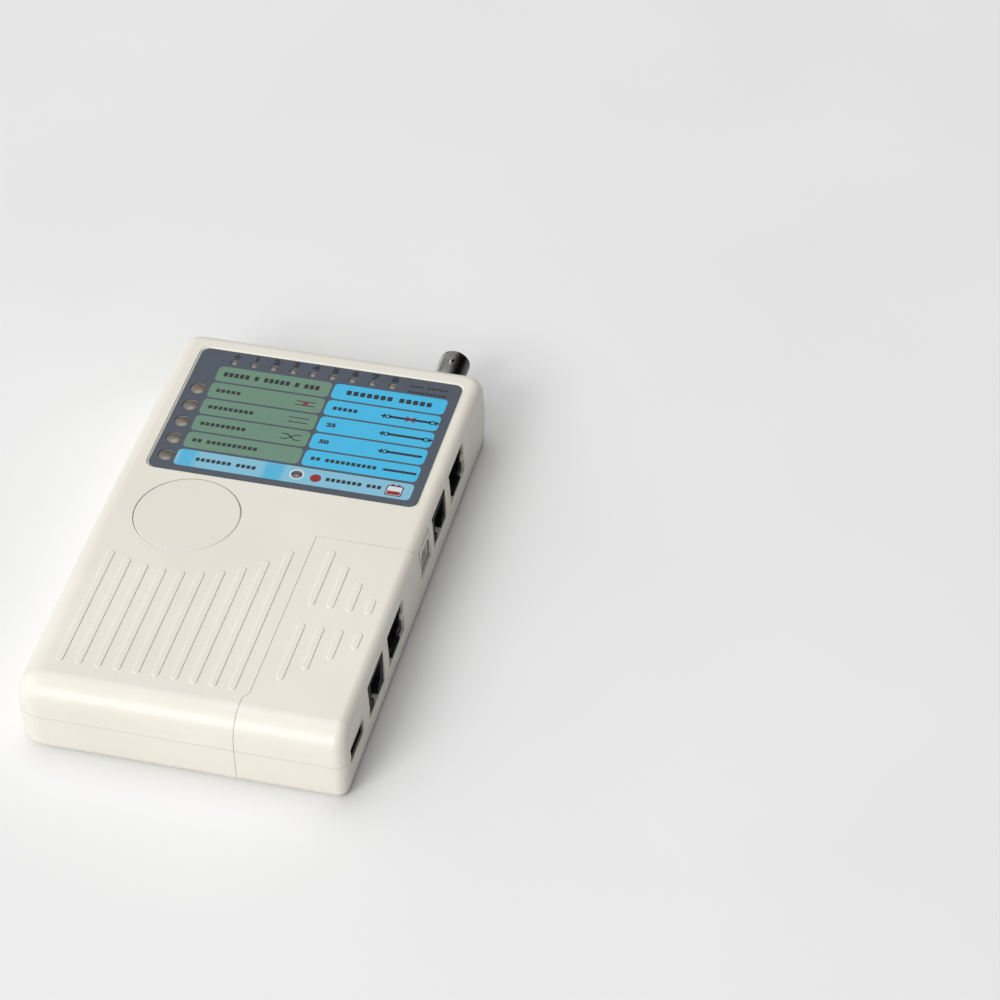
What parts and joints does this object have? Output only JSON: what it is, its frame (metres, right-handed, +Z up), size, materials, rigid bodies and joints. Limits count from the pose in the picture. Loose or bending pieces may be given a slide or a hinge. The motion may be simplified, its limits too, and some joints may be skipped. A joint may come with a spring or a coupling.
{
  "type": "network cable tester",
  "caption": "Flat ivory hand-held tester with a labelled lamp panel, round push button, side sockets, a coaxial jack and a slide-off remote unit.",
  "frame": {"origin": "centre of the case's resting back face", "axes": "+X towards the side with the sockets, +Y along the case towards the coaxial jack, +Z up through the labelled face"},
  "size_m": [0.0974, 0.178, 0.0243],
  "materials": {
    "ivory_plastic": "fine moulded texture, warm ivory",
    "label_film": "satin printed film, slate blue with green and sky-blue bars",
    "lamp_lens": "translucent tinted resin",
    "grey_lens": "translucent grey resin",
    "black_plastic": "moulded thermoplastic",
    "board_green": "solder-masked glass epoxy",
    "resistor_body": "lacquered body",
    "gold": "flash plated",
    "nickel": "nickel plate",
    "white_plastic": "moulded insulator",
    "copper": "tinned copper wire",
    "battery_wrap": "printed steel can, no marks",
    "lead_insulation": "soft wire insulation",
    "foam": "closed-cell foam",
    "steel": "zinc plated"
  },
  "bodies": {
    "tester": {"top_cover": "ivory_plastic", "bottom_case": "ivory_plastic", "label_overlay": "label_film", "pin_lamps": "lamp_lens", "status_lamps": "lamp_lens", "battery_lamp": "grey_lens", "switch_body": "black_plastic", "main_board": "board_green", "controller_chip": "black_plastic", "driver_chip": "black_plastic", "main_resistors": "resistor_body", "rj45_socket": "black_plastic", "rj45_contacts": "gold", "rj11_socket": "black_plastic", "rj11_contacts": "gold", "usb_b_shell": "nickel", "usb_b_core": "white_plastic", "usb_b_contacts": "gold", "bnc_body": "nickel", "bnc_ring_nut": "nickel", "bnc_insulator": "white_plastic", "bnc_contact": "gold", "bnc_lead": "copper", "battery_9v": "battery_wrap", "battery_terminals": "nickel", "battery_snap": "black_plastic", "battery_leads": "lead_insulation", "battery_foam": "foam", "case_screws": "steel", "board_screws": "steel"},
    "test_button": {"button_cap": "ivory_plastic", "button_spring": "steel", "switch_plunger": "black_plastic"},
    "battery_hatch": {"battery_door": "ivory_plastic"},
    "remote_unit": {"remote_top_cover": "ivory_plastic", "remote_bottom_case": "ivory_plastic", "remote_board": "board_green", "remote_resistors": "resistor_body", "remote_rj45_socket": "black_plastic", "remote_rj45_contacts": "gold", "remote_rj11_socket": "black_plastic", "remote_rj11_contacts": "gold", "remote_usb_shell": "nickel", "remote_usb_tongue": "black_plastic", "remote_usb_contacts": "gold", "remote_screws": "steel"}
  },
  "joints": [
    {"name": "button_press", "type": "slide", "parent": "tester", "child": "test_button", "axis": [0, 0, -1], "range_m": [0, 0.0012], "stiffness_N_per_m": 900, "springref_m": -0.0012, "deforming": ["button_spring"]},
    {"name": "remote_slide", "type": "slide", "parent": "tester", "child": "remote_unit", "axis": [0, -1, 0], "range_m": [0, 0.09]},
    {"name": "hatch_lift", "type": "slide", "parent": "tester", "child": "battery_hatch", "axis": [0, 0, -1], "range_m": [0, 0.03]}
  ]
}
